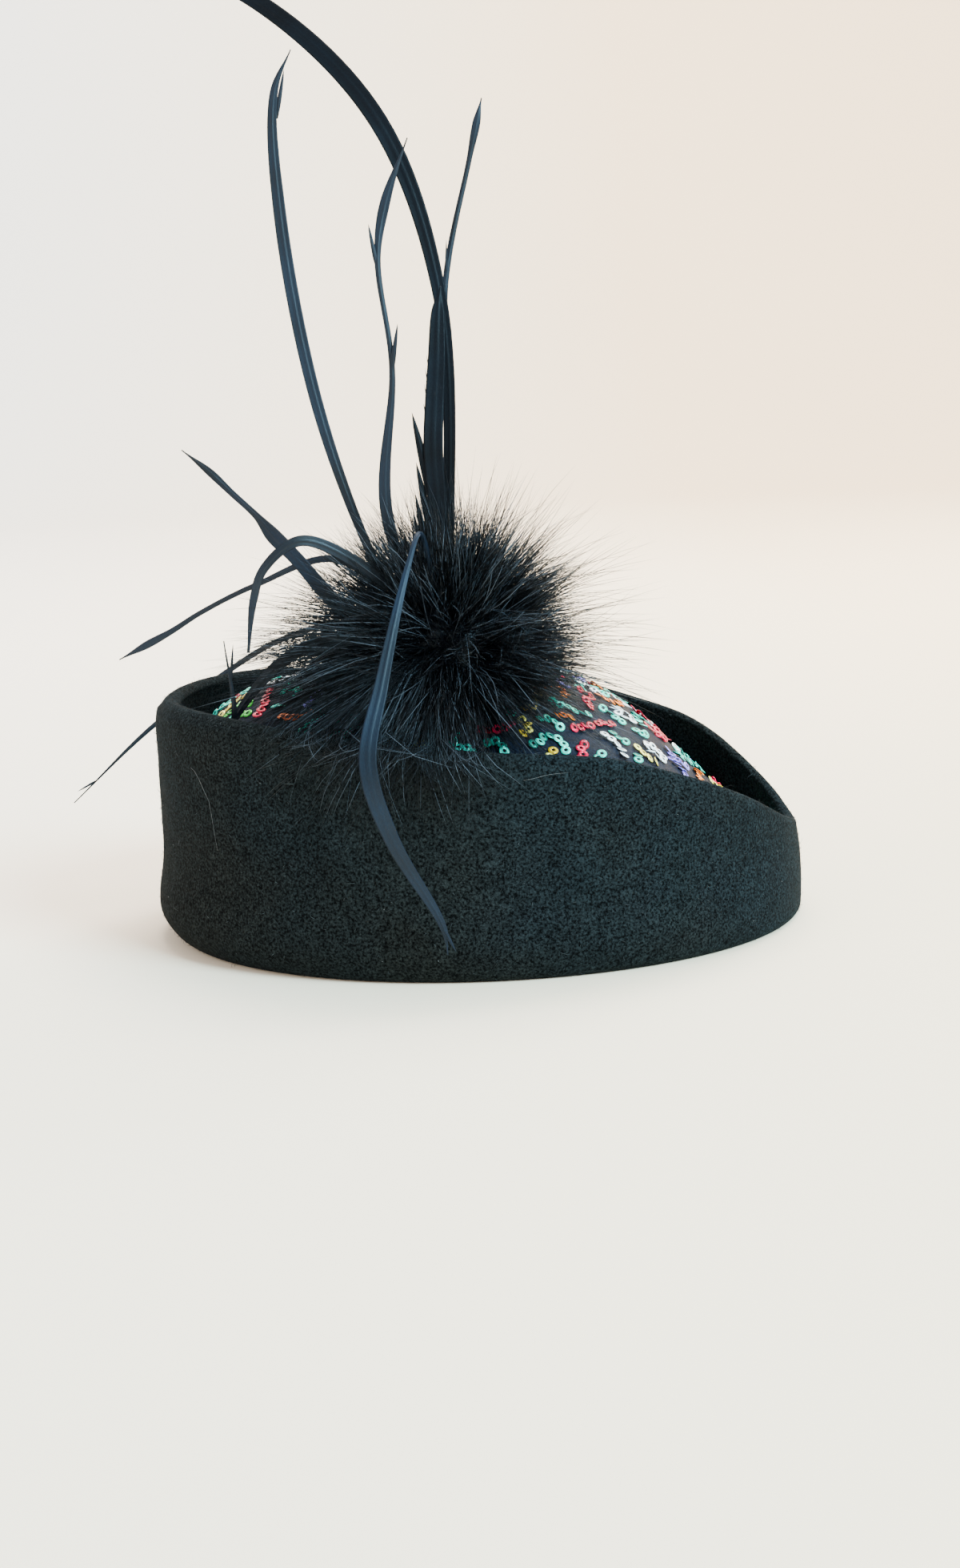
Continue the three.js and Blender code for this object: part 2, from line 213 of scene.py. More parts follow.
# Short side barbs at the split tips: root and tip, in millimetres, with the width at the root
BARBS = {
    "feather_tall": [((-57.6, -15.6, 268), (-54.4, -14.8, 283), 1.5)],
    "feather_notched": [
        ((-24.4, -38.2, 186), (-21.6, -38, 202), 1.7),
        ((-27.2, -34.2, 219), (-29.4, -33.8, 233), 1.5),
    ],
    "feather_paddle": [((-5.8, -20, 214), (-5.2, -19.4, 228), 0.9)],
    "feather_vane": [
        ((-12.1, -46.2, 143), (-18.3, -44.2, 174.5), 3.6),
        ((-12.7, -47, 130.5), (-17.7, -45, 159), 3.2),
        ((-14.2, -48, 123), (-18.4, -46, 149), 3.0),
        ((-13.5, -48.6, 111), (-18.8, -47.4, 137), 3.0),
        ((-16.5, -48.2, 130), (-19.4, -47, 143.5), 1.2),
        ((-11.4, -43, 160), (-14.6, -42, 177), 1.2),
        ((-11.7, -41.4, 178), (-12.9, -40, 192), 0.5),
        ((-12.1, -42, 174), (-13.5, -41, 188), 0.5),
        ((-12.6, -42.4, 170), (-14, -41, 183), 0.5),
    ],
    "feather_front_fall": [((-17, -96.4, 25), (-11.4, -95.6, 13), 1.5)],
    "feather_back_low": [((-144, 56, 43), (-150.6, 51, 40), 0.8)],
    "feather_tucked": [((-80.6, -45.6, 90), (-79, -45, 104), 1.0)],
}
FACING = np.array([0, -1, 0.2])
FEATHER_STEPS = 12
FEATHER_THICKNESS = 0.85
EDGE_THINNING = 0.85
RIB_WIDTH = 0.12  # share of the half width
# Tone and shine of each feather look
SATIN = ((1.1, 1.25, 1.45), 0.24)
DARK = ((0.6, 0.6, 0.6), 0.09)
PALE = ((0.8, 1.35, 1.8), 0.17)

# Camera, from the photograph's viewing angle
CAMERA_AT = Vector((-1.96, -730.5, 188.2)) * MM
CAMERA_PITCH = math.radians(11)
CAMERA_ROLL = math.radians(-2.48)
CAMERA_FIELD = math.radians(40)

# Soft lights, in metres and watts: name, place, target, size, power and colour
HAT_MIDDLE = (0, 0, 0.1)
LIGHTS = (
    ("window", (1.3, -1.2, 1.3), HAT_MIDDLE, 0.9, 150, (0.58, 0.90, 1.0)),
    ("room", (-1.5, -1.0, 0.9), HAT_MIDDLE, 1.4, 15, (1.0, 0.92, 0.82)),
    ("glint", (0.85, 1.05, 0.95), HAT_MIDDLE, 0.4, 12, (0.86, 1.0, 1.0)),
    ("ceiling", (0.2, 0.6, 1.9), HAT_MIDDLE, 1.5, 46, (1.0, 0.98, 0.95)),
    ("backdrop_wash", (0.5, 1.0, 2.4), (0.3, 3.2, 0.7), 2.0, 215, (1.0, 0.95, 0.88)),
)
ROOM_COLOUR = (1.0, 0.985, 0.96, 1)
ROOM_STRENGTH = 1.15
# The backdrop turns from cool to warm between these places along X, in metres
COOL_X = -0.9
WARM_X = 0.3

SEED = 20
rng = np.random.default_rng(SEED)


# Curves and surfaces

def smooth(places, values, at, level_end=True):
    """Value at a place, on a smooth curve through the values that starts level."""
    places, values = np.asarray(places, float), np.asarray(values, float)
    slopes = np.zeros_like(values)
    slopes[1:-1] = (values[2:] - values[:-2]) / (places[2:] - places[:-2])
    if not level_end:
        slopes[-1] = (values[-1] - values[-2]) / (places[-1] - places[-2])
    i = np.clip(np.searchsorted(places, at, side="right") - 1, 0, len(places) - 2)
    span = places[i + 1] - places[i]
    t = np.clip((at - places[i]) / span, 0, 1)
    rise = values[i + 1] - values[i]
    bend = (slopes[i] * span - rise) * (1 - t) - (slopes[i + 1] * span - rise) * t
    return values[i] + rise * t + t * (1 - t) * bend


def smoothstep(at, low, high):
    t = np.clip((at - low) / (high - low), 0, 1)
    return t * t * (3 - 2 * t)


def unit(vectors):
    return vectors / np.maximum(np.linalg.norm(vectors, axis=-1, keepdims=True), 1e-9)


def mix_round(front, side, back, angle):
    """Mixes a front, side and back size smoothly round the oval."""
    ahead = np.cos(angle) ** 2
    return (1 - ahead) * side + ahead * np.where(np.cos(angle) > 0, front, back)


def oval_point(angle, out, z):
    """A point on the head oval pushed straight out by a distance."""
    angle, out, z = np.broadcast_arrays(angle, out, z)
    c, s = np.cos(angle), np.sin(angle)
    away = unit(np.stack([HEAD_HALF_WIDTH * c, HEAD_HALF_LENGTH * s], -1))
    x = HEAD_HALF_LENGTH * c + away[..., 0] * out
    y = HEAD_HALF_WIDTH * s + away[..., 1] * out
    return np.stack([x, y, z], -1).astype(float)


def rim_height(angle):
    from_front = np.abs(np.degrees(np.arctan2(np.sin(angle), np.cos(angle))))
    rise = smooth(FAR_ANGLES, FAR_RISE, from_front) * (np.sin(angle) > 0)
    return smooth(RIM_ANGLES, RIM_HEIGHTS, from_front) + rise


def cuff_lean(angle, z):
    """How far the cuff's wall stands out beyond its fold at a height."""
    swell = mix_round(*SWELL, angle) * np.sin(np.clip(z / SWELL_HEIGHT, 0, 1) * math.pi / 2)
    tuck = mix_round(*TUCK, angle) * smoothstep(z, SWELL_HEIGHT, TUCK_HEIGHT)
    rim = rim_height(angle)
    curl = mix_round(*RIM_CURL, angle) * np.clip((z - rim) / RIM_CURL_HEIGHT + 1, 0, 1) ** 2
    return swell - tuck - curl


def crown_height(angle, share):
    columns = (CROWN_FRONT, CROWN_SIDE, CROWN_BACK)
    heights = [smooth(CROWN_SHARES, column, share, level_end=False) for column in columns]
    return mix_round(*heights, angle)


def crown_place(x, y):
    """Angle and share of the crown's oval at a place in plan."""
    u, v = x / CROWN_HALF_LENGTH, y / CROWN_HALF_WIDTH
    return np.arctan2(v, u), np.hypot(u, v)


def crown_z(x, y):
    angle, share = crown_place(x, y)
    return crown_height(angle, np.clip(share, 0, 1))


def crown_normal(x, y, step=0.4):
    slope_x = (crown_z(x + step, y) - crown_z(x - step, y)) / (2 * step)
    slope_y = (crown_z(x, y + step) - crown_z(x, y - step)) / (2 * step)
    return unit(np.stack([-slope_x, -slope_y, np.ones_like(slope_x)], -1))


def curve_points(rows, steps_per_row):
    """Points and places along a smooth curve through the rows, with even steps between rows."""
    points = np.array(rows, float)[:, :3]
    ends = [2 * points[0] - points[1], *points, 2 * points[-1] - points[-2]]
    p = np.array(ends)
    lengths = np.linalg.norm(np.diff(p, axis=0), axis=1) ** 0.5
    made, places = [], []
    count = len(points) - 1
    for i in range(count):
        before, span, after = lengths[i:i + 3]
        p0, p1, p2, p3 = p[i:i + 4]
        leave = ((p1 - p0) / before - (p2 - p0) / (before + span) + (p2 - p1) / span) * span
        arrive = ((p2 - p1) / span - (p3 - p1) / (span + after) + (p3 - p2) / after) * span
        t = np.linspace(0, 1, steps_per_row, endpoint=False)[:, None]
        if i == count - 1:
            t = np.linspace(0, 1, steps_per_row + 1)[:, None]
        bend = (-3 * p1 + 3 * p2 - 2 * leave - arrive) * t ** 2
        twist = (2 * p1 - 2 * p2 + leave + arrive) * t ** 3
        made.append(p1 + leave * t + (bend + twist))
        places.append(i + t[:, 0])
    return np.concatenate(made), np.concatenate(places)


# Meshes

def mesh_piece(name, points, faces, material, uv=None):
    """A smooth-shaded piece from points in millimetres that rides on the hat's body."""
    mesh = bpy.data.meshes.new(name)
    mesh.from_pydata((np.asarray(points) * MM).tolist(), [], [list(face) for face in faces])
    mesh.polygons.foreach_set("use_smooth", [True] * len(mesh.polygons))
    if uv is not None:
        layer = mesh.uv_layers.new(name="UVMap")
        corners = np.zeros(len(mesh.loops), np.int32)
        mesh.loops.foreach_get("vertex_index", corners)
        layer.data.foreach_set("uv", np.asarray(uv, np.float32)[corners].ravel())
    mesh.materials.append(material)
    mesh.update()
    piece = bpy.data.objects.new(name, mesh)
    bpy.context.scene.collection.objects.link(piece)
    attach(piece, BODY)
    return piece


def grid_faces(rows, columns, join_rows=False):
    """Quads of a grid of points whose columns run round a loop."""
    runs = rows if join_rows else rows - 1
    i, j = np.meshgrid(np.arange(runs), np.arange(columns), indexing="ij")
    k, following = (i + 1) % rows, (j + 1) % columns
    corners = (i * columns + j, i * columns + following, k * columns + following, k * columns + j)
    return np.stack(corners, -1).reshape(-1, 4)


def joined(parts):
    """Points and faces of several meshes as one."""
    points, faces, start = [], [], 0
    for part_points, part_faces in parts:
        points.append(part_points)
        faces.extend([[start + c for c in face] for face in part_faces])
        start += len(part_points)
    return np.concatenate(points), faces


def fibre_mesh(paths, radii):
    """Thin closed three-sided fibres: paths is fibre by point by xyz, radii fibre by point."""
    count, length = paths.shape[:2]
    along = unit(np.gradient(paths, axis=1))
    reference = np.where(np.abs(along[..., 2:]) < 0.9, [0.0, 0.0, 1.0], [1.0, 0.0, 0.0])
    side = unit(np.cross(along, reference))
    other = np.cross(along, side)
    rings = []
    for turn in (0, TAU / 3, 2 * TAU / 3):
        offset = math.cos(turn) * side + math.sin(turn) * other
        rings.append(paths + offset * radii[..., None])
    body = np.stack(rings, 2)[:, :-1].reshape(count, -1, 3)
    points = np.concatenate([body, paths[:, -1:]], 1)
    each = points.shape[1]
    faces = [[2, 1, 0]]
    for ring in range(length - 2):
        for corner in range(3):
            a, b = 3 * ring + corner, 3 * ring + (corner + 1) % 3
            faces += [[a, b, b + 3], [a, b + 3, a + 3]]
    last = 3 * (length - 2)
    faces += [[last + corner, last + (corner + 1) % 3, each - 1] for corner in range(3)]
    starts = np.arange(count)[:, None, None] * each
    return points.reshape(-1, 3), (np.array(faces)[None] + starts).reshape(-1, 3)


# Materials

class Nodes:
    """Builds one material's nodes."""

    def __init__(self, name):
        self.material = bpy.data.materials.new(name)
        self.material.use_nodes = True
        self.tree = self.material.node_tree
        self.shader = self.tree.nodes["Principled BSDF"]

    def set(self, **values):
        for name, value in values.items():
            socket = name.replace("_", " ").title().replace("Ior", "IOR")
            self.shader.inputs[socket].default_value = value

    def node(self, kind, **values):
        made = self.tree.nodes.new(kind)
        for name, value in values.items():
            if name in made.inputs:
                made.inputs[name].default_value = value
            else:
                setattr(made, name, value)
        return made

    def link(self, source, target):
        self.tree.links.new(source, target)

    def noise(self, coordinates, scale, detail=4.0, roughness=0.6):
        made = self.node("ShaderNodeTexNoise", Scale=scale, Detail=detail, Roughness=roughness)
        self.link(coordinates, made.inputs["Vector"])
        return made.outputs["Fac"]

    def object_coordinates(self):
        return self.node("ShaderNodeTexCoord").outputs["Object"]

    def ramp(self, factor, *stops):
        made = self.node("ShaderNodeValToRGB")
        made.color_ramp.elements[0].position = stops[0][0]
        made.color_ramp.elements[0].color = (*stops[0][1], 1)
        made.color_ramp.elements[1].position = stops[-1][0]
        made.color_ramp.elements[1].color = (*stops[-1][1], 1)
        for position, colour in stops[1:-1]:
            made.color_ramp.elements.new(position).color = (*colour, 1)
        self.link(factor, made.inputs["Fac"])
        return made.outputs["Color"]

    def mix(self, factor, first, second, blend="MIX"):
        made = self.node("ShaderNodeMix", data_type="RGBA", blend_type=blend)
        for value, at in ((factor, 0), (first, 6), (second, 7)):
            if isinstance(value, bpy.types.NodeSocket):
                self.link(value, made.inputs[at])
            else:
                made.inputs[at].default_value = value
        return made.outputs[2]

    def colour(self, source):
        self.link(source, self.shader.inputs["Base Color"])

    def roughness(self, factor, low, high):
        made = self.node("ShaderNodeMapRange")
        made.inputs["To Min"].default_value = low
        made.inputs["To Max"].default_value = high
        self.link(factor, made.inputs["Value"])
        self.link(made.outputs["Result"], self.shader.inputs["Roughness"])

    def bump(self, height, strength, distance):
        made = self.node("ShaderNodeBump", Strength=strength, Distance=distance)
        self.link(height, made.inputs["Height"])
        self.link(made.outputs["Normal"], self.shader.inputs["Normal"])


def felt_material():
    m = Nodes("felt_black")
    at = m.object_coordinates()
    grain = m.noise(at, 1250, 3, 0.7)
    blotch = m.noise(at, 170, 4, 0.65)
    cast = m.noise(at, 14, 2, 0.5)
    nap = m.ramp(grain, (0.39, (0.0008, 0.0011, 0.0013)), (0.66, (0.0155, 0.0208, 0.0236)))
    patch = m.ramp(blotch, (0.3, (0.66, 0.66, 0.66)), (0.7, (1.06, 1.06, 1.06)))
    shaded = m.mix(1.0, nap, patch, "MULTIPLY")
    tint = m.ramp(cast, (0.35, (1.1, 1.0, 0.9)), (0.65, (0.86, 1.0, 1.08)))
    m.colour(m.mix(1.0, shaded, tint, "MULTIPLY"))
    m.roughness(blotch, 0.86, 1.0)
    m.set(specular_ior_level=0.02, sheen_weight=0.014, sheen_roughness=0.5, sheen_tint=(0.5, 0.66, 0.74, 1))
    m.bump(m.mix(0.5, grain, blotch), 0.7, 0.0007)
    return m.material


def fuzz_material():
    m = Nodes("felt_fuzz")
    island = m.node("ShaderNodeNewGeometry").outputs["Random Per Island"]
    dark, grey, pale = (0.0015, 0.0018, 0.002), (0.011, 0.0138, 0.0155), (0.06, 0.072, 0.08)
    m.colour(m.ramp(island, (0.0, dark), (0.8, grey), (1.0, pale)))
    m.set(roughness=0.85, specular_ior_level=0.1)
    return m.material


def lint_material():
    m = Nodes("lint_pale")
    grey, pale = (0.06, 0.065, 0.07), (0.2, 0.21, 0.22)
    m.colour(m.ramp(m.noise(m.object_coordinates(), 700), (0.3, grey), (0.7, pale)))
    m.set(roughness=0.9)
    return m.material


def cloth_material():
    m = Nodes("crown_cloth")
    at = m.object_coordinates()
    weave = m.noise(at, 1700, 2, 0.6)
    crinkle = m.noise(at, 160, 5, 0.6)
    base = m.ramp(weave, (0.3, (0.0012, 0.0022, 0.0042)), (0.72, (0.011, 0.0175, 0.033)))
    # The crinkle noise that raises the bump also darkens the cloth in its hollows and lightens it on its
    # rises: painted shade and painted sheen on the crinkles.
    painted_crinkle_shade = m.ramp(crinkle, (0.32, (0.55, 0.55, 0.58)), (0.7, (1.3, 1.3, 1.34)))
    m.colour(m.mix(1.0, base, painted_crinkle_shade, "MULTIPLY"))
    m.roughness(crinkle, 0.42, 0.68)
    m.set(specular_ior_level=0.05, sheen_weight=0.01, sheen_roughness=0.4)
    m.bump(m.mix(0.35, crinkle, weave), 0.6, 0.0008)
    return m.material


def sequin_material(name, dark, light):
    m = Nodes(name)
    island = m.node("ShaderNodeNewGeometry").outputs["Random Per Island"]
    m.colour(m.ramp(island, (0.0, dark), (1.0, light)))
    m.roughness(m.noise(m.object_coordinates(), 900, 2, 0.5), 0.1, 0.26)
    m.set(metallic=0.2, specular_ior_level=0.4)
    return m.material


def fluff_material(name, highlight_share):
    """Black fibres, of which a share runs up to a light blue-grey: a painted highlight for the sheen on the
    strands.
    """
    m = Nodes(name)
    island = m.node("ShaderNodeNewGeometry").outputs["Random Per Island"]
    # the light colour is a painted highlight: the strands' sheen put into their colour
    dark, black, light = (0.0005, 0.0006, 0.0008), (0.0022, 0.0027, 0.0038), (0.09, 0.115, 0.15)
    m.colour(m.ramp(island, (0.0, dark), (1 - highlight_share, black), (1.0, light)))
    m.set(roughness=0.34, specular_ior_level=0.2, specular_tint=(0.7, 0.86, 1.0, 1))
    return m.material


def feather_material(name, tone, shine):
    """Satin feather: its tone scales the colour, its shine the reflection."""
    m = Nodes(name)
    coordinates = m.node("ShaderNodeTexCoord").outputs["UV"]
    stretch = m.node("ShaderNodeMapping")
    stretch.inputs["Rotation"].default_value = (0, 0, 0.5)
    stretch.inputs["Scale"].default_value = (2.5, 1.1, 1)
    m.link(coordinates, stretch.inputs["Vector"])
    barbs = m.noise(stretch.outputs["Vector"], 5.0, 3, 0.55)
    cast = m.noise(m.object_coordinates(), 32, 3, 0.55)
    black, navy, blue = (0.003, 0.0032, 0.0042), (0.004, 0.0058, 0.0095), (0.006, 0.010, 0.017)
    ground = m.ramp(cast, (0.3, black), (0.55, navy), (0.75, blue))
    streak = m.ramp(barbs, (0.3, (0.7, 0.7, 0.7)), (0.7, (1.3, 1.3, 1.3)))
    toned = m.mix(1.0, ground, (*tone, 1), "MULTIPLY")
    m.colour(m.mix(1.0, toned, streak, "MULTIPLY"))
    m.roughness(barbs, 0.3, 0.5)
    m.set(specular_ior_level=shine, specular_tint=(0.75, 0.88, 1.0, 1))
    m.bump(barbs, 0.25, 0.0003)
    return m.material


def backdrop_material():
    m = Nodes("backdrop_pale")
    at = m.object_coordinates()
    split = m.node("ShaderNodeSeparateXYZ")
    m.link(at, split.inputs["Vector"])
    side = m.node("ShaderNodeMapRange")
    side.inputs["From Min"].default_value = COOL_X
    side.inputs["From Max"].default_value = WARM_X
    m.link(split.outputs["X"], side.inputs["Value"])
    warm = m.ramp(side.outputs["Result"], (0.0, (0.99, 0.98, 0.96)), (1.0, (0.96, 0.76, 0.53)))
    tone = m.ramp(m.noise(at, 1.4, 2, 0.5), (0.3, (0.97, 0.97, 0.97)), (0.7, (1.0, 1.0, 1.0)))
    m.colour(m.mix(1.0, warm, tone, "MULTIPLY"))
    m.set(roughness=0.9, specular_ior_level=0.1)
    return m.material


# Felt cuff

def cuff_grid():
    """Points of the cuff's surface: round its section, then round the oval."""
    angle = np.linspace(0, TAU, CUFF_TURNS, endpoint=False)
    rim = rim_height(angle)
    outside = 2 * FELT + FOLD_GAP
    half = FELT / 2
    rim_felt = mix_round(*RIM_FELT, angle)
    rim_half = rim_felt / 2
    rows = []

    def add(out, z):
        rows.append((np.broadcast_to(out, angle.shape), np.broadcast_to(z, angle.shape)))

    for z in np.linspace(RETURN_HEIGHT - half, FOLD_CORNER, 6):
        add(0.0, z)
    for turn in np.linspace(0, math.pi / 2, 6)[1:]:
        add(FOLD_FLAT[0] * (1 - math.cos(turn)), FOLD_CORNER * (1 - math.sin(turn)))
    add((FOLD_FLAT[0] + FOLD_FLAT[1]) / 2, 0.0)
    for turn in np.linspace(0, math.pi / 2, 7)[:-1]:
        z = FOLD_CORNER * (1 - math.cos(turn))
        add(FOLD_FLAT[1] + (outside - FOLD_FLAT[1]) * math.sin(turn) + cuff_lean(angle, z), z)
    for share in np.linspace(0, 1, OUTER_ROWS):
        z = FOLD_CORNER + share * (rim - rim_half - FOLD_CORNER)
        add(outside + cuff_lean(angle, z), z)
    for turn in np.linspace(0, math.pi, 12)[1:-1]:
        out = outside - rim_half + cuff_lean(angle, rim) + rim_half * math.cos(turn)
        add(out, rim - rim_half + rim_half * math.sin(turn))
    for share in np.linspace(1, 0, INNER_ROWS):
        z = FOLD_CORNER + share * (rim - rim_half - FOLD_CORNER)
        thick = FELT + (rim_felt - FELT) * smoothstep(z, rim - rim_half - RIM_SWELL, rim - rim_half)
        add(outside - thick + cuff_lean(angle, z), z)
    for out in np.linspace(outside - FELT - 0.4, FELT + 0.4, 4):
        add(out, FOLD_FLOOR)
    for z in np.linspace(FOLD_FLOOR + 0.6, RETURN_HEIGHT - half, 6):
        add(FELT, z)
    for turn in np.linspace(0, math.pi, 8)[1:-1]:
        add(half + half * math.cos(turn), RETURN_HEIGHT - half + half * math.sin(turn))
    out = np.array([row[0] for row in rows])
    z = np.array([row[1] for row in rows])
    turns = np.broadcast_to(angle, out.shape)
    return oval_point(turns, out + felt_wave(turns, z), z)


def felt_wave(angle, z):
    """Soft unevenness of the felt wall, none at the foot."""
    at = oval_point(angle, 0.0, z)
    wave = np.zeros(angle.shape)
    for index in np.ndindex(*angle.shape):
        place = Vector(at[index])
        wave[index] = sum(height * noise.noise(place * pace) for height, pace in FELT_WAVES)
    return wave * smoothstep(z, *WAVE_FADE)


def surface_samples(points, faces, count, keep):
    """Random places on the kept quads, with their normals."""
    a, b, c, d = (points[faces[:, i]] for i in range(4))
    cross = np.cross(c - a, d - b)
    area = np.linalg.norm(cross, axis=1) * keep((a + b + c + d) / 4)
    chosen = rng.choice(len(faces), count, p=area / area.sum())
    u, v = rng.random((2, count, 1))
    lower = a[chosen] * (1 - u) + b[chosen] * u
    upper = d[chosen] * (1 - u) + c[chosen] * u
    return lower * (1 - v) + upper * v, unit(cross[chosen])


def make_cuff():
    grid = cuff_grid()
    rows, turns = grid.shape[:2]
    points = grid.reshape(-1, 3)
    faces = grid_faces(rows, turns, join_rows=True)
    cuff = mesh_piece("felt_cuff_wall", points, faces, felt_material())
    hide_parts("felt_cuff")
    make_fuzz(points, faces)


def make_fuzz(points, faces):
    """Fine nap on the felt, thicker along the rim."""
    def shows(middles):
        angle = crown_place(middles[:, 0], middles[:, 1])[0]
        near_rim = smoothstep(middles[:, 2], rim_height(angle) - 4, rim_height(angle) - 1)
        return (middles[:, 2] > 1.0) * (1 + 1.5 * near_rim)

    count = NAP_FIBRES
    at, normal = surface_samples(points, faces, count, shows)
    drift = unit(np.cross(normal, unit(rng.normal(size=(count, 3)))))
    long_one = rng.random((count, 1)) < LONG_NAP_SHARE
    length = np.where(long_one, rng.uniform(*LONG_NAP, (count, 1)), rng.uniform(*SHORT_NAP, (count, 1)))
    rise = rng.uniform(0.25, 0.75, (count, 1))
    middle = at + (drift * 0.5 + normal * rise * 0.6) * length
    tip = at + (drift * 0.95 + normal * rise * 0.55) * length
    paths = np.stack([at - normal * 0.1, middle, tip], 1)
    radii = np.tile(NAP_RADII, (count, 1))
    low = paths[..., 2].min(1) > 0.1
    points, faces = fibre_mesh(paths[low], radii[low])
    mesh_piece("felt_nap", points, faces, fuzz_material())


def make_lint():
    """A few pale specks and two stray hairs on the near side of the cuff."""
    count = LINT_SPECKS
    angle = rng.uniform(math.radians(LINT_ANGLES[0]), math.radians(LINT_ANGLES[1]), count)
    z = FOLD_CORNER + 4 + rng.random(count) * (rim_height(angle) - FOLD_CORNER - 8)
    out = 2 * FELT + FOLD_GAP + cuff_lean(angle, z) + felt_wave(angle, z)
    at = oval_point(angle, out + 0.05, z)
    along = unit(rng.normal(size=(count, 3)) * [1, 0.3, 1])
    size = rng.uniform(0.12, 0.28, (count, 1))
    specks = np.stack([at - along * size, at, at + along * size], 1)
    parts = [fibre_mesh(specks, np.tile(LINT_RADII, (count, 1)))]
    for degrees, heights in STRAY_HAIRS:
        share = np.linspace(0, 1, STRAY_HAIR_POINTS)
        turn = np.radians(np.interp(share, np.linspace(0, 1, len(degrees)), degrees))
        z = smooth(np.linspace(0, 1, len(heights)), heights, share)
        out = 2 * FELT + FOLD_GAP + cuff_lean(turn, z) + felt_wave(turn, z) + 0.15
        radii = STRAY_HAIR_RADIUS * np.linspace(1, 0, STRAY_HAIR_POINTS)[None] ** 0.4
        parts.append(fibre_mesh(oval_point(turn, out, z)[None], radii))
    points, faces = joined(parts)
    mesh_piece("felt_lint", points, faces, lint_material())


# Sequinned crown

def make_crown():
    angle = np.linspace(0, TAU, CROWN_TURNS, endpoint=False)
    shares = np.sin(np.linspace(CROWN_EYE, 1, CROWN_ROWS) * math.pi / 2)
    rings = []
    for share in shares:
        z = crown_height(angle, share)
        at = oval_point(angle, CROWN_OUT, 0.0) * share
        at[:, 2] = z
        rings.append(at)
    for drop in np.linspace(0, 1, 7)[1:]:
        at = rings[len(shares) - 1].copy()
        at[:, 2] += (CROWN_SKIRT_EDGE - at[:, 2]) * drop
        rings.append(at)
    outer = np.array(rings)
    along = np.roll(outer, -1, 1) - np.roll(outer, 1, 1)
    normal = unit(np.cross(np.gradient(outer, axis=0), along))
    for index in np.ndindex(*outer.shape[:2]):
        crease = noise.noise(Vector(outer[index]) * CREASE_PACE) * CREASE_HEIGHT
        outer[index] += normal[index] * crease * smoothstep(outer[index][2], *CREASE_FADE)
    inner = (outer - normal * CROWN_WALL)[::-1]
    grid = np.concatenate([outer, inner])
    points = np.concatenate([grid.reshape(-1, 3), outer[:1].mean(1), inner[-1:].mean(1)])
    rows = len(grid)
    faces = grid_faces(rows, CROWN_TURNS).tolist()
    top, under = len(points) - 2, len(points) - 1
    for j in range(CROWN_TURNS):
        k = (j + 1) % CROWN_TURNS
        start = (rows - 1) * CROWN_TURNS
        faces.append([k, j, top])
        faces.append([start + j, start + k, under])
    crown = mesh_piece("crown_cloth_shell", points, faces, cloth_material())
    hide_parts("sequin_crown")


SEQUIN_COLOURS = (
    # name, share of the chains, darkest and lightest colour
    ("sequins_teal", 0.44, (0.0, 0.26, 0.20), (0.0, 0.95, 0.74)),
    ("sequins_crimson", 0.18, (0.34, 0.0, 0.02), (0.92, 0.0, 0.08)),
    ("sequins_gold", 0.11, (0.60, 0.36, 0.0), (1.0, 0.92, 0.22)),
    ("sequins_silver", 0.15, (0.60, 0.76, 0.88), (1.0, 1.0, 1.0)),
    ("sequins_orange", 0.06, (0.55, 0.06, 0.0), (0.95, 0.26, 0.01)),
    ("sequins_green", 0.04, (0.0, 0.28, 0.02), (0.10, 0.82, 0.08)),
    ("sequins_violet", 0.05, (0.08, 0.06, 0.46), (0.36, 0.34, 0.95)),
)


def sequin_chains():
    """Winding chains of sequins over the crown: places in plan, with the way each chain runs."""
    taken = np.zeros((0, 2))
    chains = []
    for shortest in [LONG_CHAIN] * LONG_TRIES + [SHORT_CHAIN] * SHORT_TRIES:
        share = math.sqrt(rng.random()) * SEQUIN_EDGE
        turn = rng.random() * TAU
        at = np.array([
            share * CROWN_HALF_LENGTH * math.cos(turn),
            share * CROWN_HALF_WIDTH * math.sin(turn),
        ])
        heading = rng.random() * TAU
        curl = rng.choice([-1, 1]) * rng.uniform(*CHAIN_CURL)
        wanted = rng.integers(shortest, shortest + CHAIN_EXTRA)
        run = []
        while len(run) < wanted:
            inside = crown_place(*at)[1] < SEQUIN_EDGE
            free = not len(taken) or np.hypot(*(taken - at).T).min() > CHAIN_GAP
            earlier = np.array([place for place, _ in run[:-1]])
            own = not len(earlier) or np.hypot(*(earlier - at).T).min() > OWN_GAP
            if not (inside and free and own):
                break
            run.append((at.copy(), heading))
            if rng.random() < CURL_TURNS_BACK:
                curl = -curl
            heading += curl
            way = np.array([math.cos(heading), math.sin(heading)])
            normal = crown_normal(*at)
            steep = abs(way @ normal[:2]) / max(normal[2], 0.15)
            at = at + way * SEQUIN_PITCH / math.sqrt(1 + steep ** 2)
        if len(run) >= shortest:
            chains.append(run)
            taken = np.concatenate([taken, [p for p, _ in run]])
    return chains


